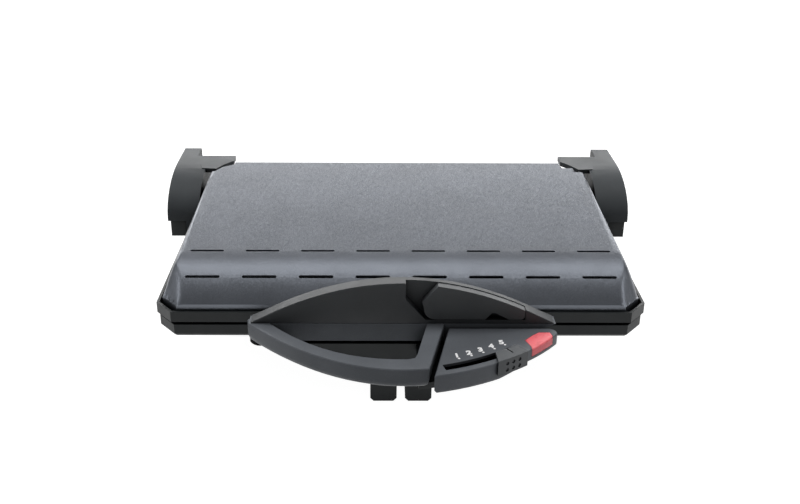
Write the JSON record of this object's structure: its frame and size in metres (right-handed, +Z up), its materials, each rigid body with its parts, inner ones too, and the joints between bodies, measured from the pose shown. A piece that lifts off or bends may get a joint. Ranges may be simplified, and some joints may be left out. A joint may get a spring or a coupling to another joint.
{
  "type": "contact grill",
  "caption": "Low rectangular contact grill with a sloping ribbed-plate lid on floating side arms, crescent handle with fold-out stand, curved temperature slider and lamp.",
  "frame": {"origin": "middle of the bounding box, on the surface the grill stands on, lid closed", "axes": "+X to the right as seen from the front, +Y to the rear hinge, +Z up; the handle points to -Y"},
  "size_m": [0.4, 0.3458, 0.1151],
  "materials": {
    "painted_shell": "metallic grey paint with a fine speckle",
    "dark_plastic": "fine grain, dark grey",
    "grey_plastic": "fine grain with a light metallic speckle",
    "rubber": "matt black",
    "coated_aluminium": "dark non-stick coating",
    "steel": "bright",
    "zinc_steel": "zinc plated",
    "red_lens": "translucent red, domed",
    "ceramic": "glazed white",
    "inner_plastic": "heat resistant, plain"
  },
  "bodies": {
    "base": {"base_housing": "dark_plastic", "bottom_cover": "dark_plastic", "rubber_foot_front_left": "rubber", "rubber_foot_front_right": "rubber", "rubber_foot_rear_left": "rubber", "rubber_foot_rear_right": "rubber", "cover_screw_1": "steel", "cover_screw_2": "steel", "cover_screw_3": "steel", "cover_screw_4": "steel", "front_leg_left": "dark_plastic", "front_leg_right": "dark_plastic", "lower_plate": "coated_aluminium", "plate_clip_left": "steel", "plate_clip_right": "steel", "lower_heater": "steel", "lower_reflector": "zinc_steel", "terminal_block": "ceramic", "cord_inlet": "rubber", "control_panel": "grey_plastic", "panel_floor": "dark_plastic", "temperature_regulator": "inner_plastic", "lamp_holder": "ceramic", "lamp_lens": "red_lens", "hinge_bracket_left": "zinc_steel", "hinge_bracket_right": "zinc_steel", "bracket_screw_left_1": "steel", "bracket_screw_left_2": "steel", "bracket_screw_right_1": "steel", "bracket_screw_right_2": "steel"},
    "axle": {"hinge_shaft": "steel", "hinge_block_left": "inner_plastic", "hinge_block_right": "inner_plastic"},
    "lid": {"lid_shell": "painted_shell", "lid_frame": "dark_plastic", "upper_plate": "coated_aluminium", "upper_heater": "steel", "upper_reflector": "zinc_steel", "arm_core_left": "dark_plastic", "arm_core_right": "dark_plastic", "arm_cover_left": "grey_plastic", "arm_cover_right": "grey_plastic", "arm_screw_left_1": "steel", "arm_screw_left_2": "steel", "arm_screw_right_1": "steel", "arm_screw_right_2": "steel", "handle_grip": "grey_plastic", "handle_fin": "dark_plastic", "handle_screw_left": "steel", "handle_screw_right": "steel", "stand_pin": "steel"},
    "stand": {"folding_stand": "dark_plastic"},
    "slider": {"slider_knob": "grey_plastic", "slider_carriage": "inner_plastic"}
  },
  "joints": [
    {"name": "float_lift", "type": "slide", "parent": "base", "child": "axle", "axis": [0, 0, 1], "range_m": [0, 0.01]},
    {"name": "lid_hinge", "type": "hinge", "parent": "axle", "child": "lid", "pos_m": [0, 0.15292, 0.07486], "axis": [-1, 0, 0], "range_deg": [0, 180]},
    {"name": "stand_hinge", "type": "hinge", "parent": "lid", "child": "stand", "pos_m": [0.0233, -0.10208, 0.0868], "axis": [0, -1, 0], "range_deg": [0, 81]},
    {"name": "temperature_slider", "type": "hinge", "parent": "base", "child": "slider", "pos_m": [-0.0152, -0.01878, 0.0735], "axis": [0, 0, 1], "range_deg": [-15.5, 0]}
  ]
}
